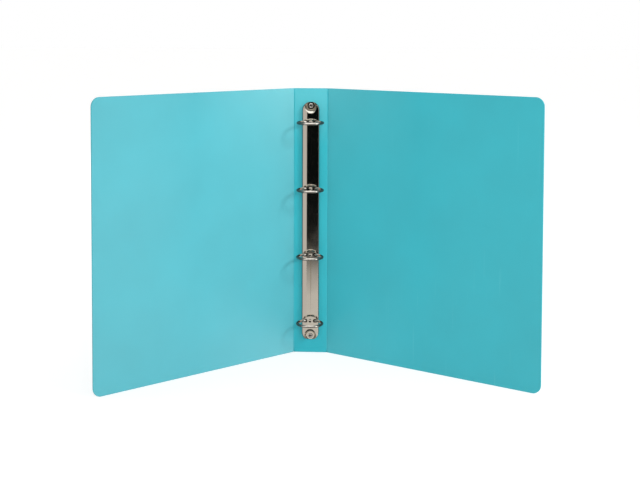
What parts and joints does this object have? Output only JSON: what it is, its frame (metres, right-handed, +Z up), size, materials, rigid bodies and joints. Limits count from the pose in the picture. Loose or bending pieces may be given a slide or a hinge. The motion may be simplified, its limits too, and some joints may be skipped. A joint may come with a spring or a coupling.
{
  "type": "ring binder",
  "caption": "Free-standing A4 ring binder in turquoise plastic sheet with round rings on an arched metal mechanism, covers hinged at folds, rings opening in halves.",
  "frame": {"origin": "middle of the spine's lower edge, in the middle of the sheet's thickness", "axes": "+Z up along the spine, +X to the right seen from the inside (towards the back cover), +Y out through the back of the spine"},
  "size_m": [0.4776, 0.1891, 0.32],
  "materials": {
    "sheet": "opaque turquoise polypropylene sheet with a fine satin grain",
    "fold": "thinned polypropylene of the folds",
    "plate": "polished nickel plate on steel strip",
    "rivet": "nickel-plated tubular rivet",
    "rail": "plain nickel-plated steel strip",
    "ring": "polished nickel-plated round wire"
  },
  "bodies": {
    "spine": {"spine_panel": "sheet", "front_hinge_web": "fold", "back_hinge_web": "fold", "arch_plate": "plate", "top_rivet": "rivet", "bottom_rivet": "rivet"},
    "front_cover": {"front_cover": "sheet"},
    "back_cover": {"back_cover": "sheet"},
    "front_rail": {"front_rail": "rail", "front_half_ring_1": "ring", "front_half_ring_2": "ring", "front_half_ring_3": "ring", "front_half_ring_4": "ring"},
    "back_rail": {"back_rail": "rail", "back_half_ring_1": "ring", "back_half_ring_2": "ring", "back_half_ring_3": "ring", "back_half_ring_4": "ring"}
  },
  "joints": [
    {"name": "front_cover_hinge", "type": "hinge", "parent": "spine", "child": "front_cover", "pos_m": [-0.0203, 0, 0], "axis": [0, 0, 1], "range_deg": [-132.7, 47.3]},
    {"name": "back_cover_hinge", "type": "hinge", "parent": "spine", "child": "back_cover", "pos_m": [0.0203, 0, 0], "axis": [0, 0, -1], "range_deg": [-121.6, 58.4]},
    {"name": "front_rail_pivot", "type": "hinge", "parent": "spine", "child": "front_rail", "pos_m": [-0.0085, -0.00233, 0.16], "axis": [0, 0, -1], "range_deg": [0, 9.5]},
    {"name": "back_rail_pivot", "type": "hinge", "parent": "spine", "child": "back_rail", "pos_m": [0.0085, -0.00233, 0.16], "axis": [0, 0, 1], "range_deg": [0, 9.5]}
  ],
  "couplings": [
    {"joint": "back_rail_pivot", "follows": "front_rail_pivot", "ratio": 1}
  ]
}
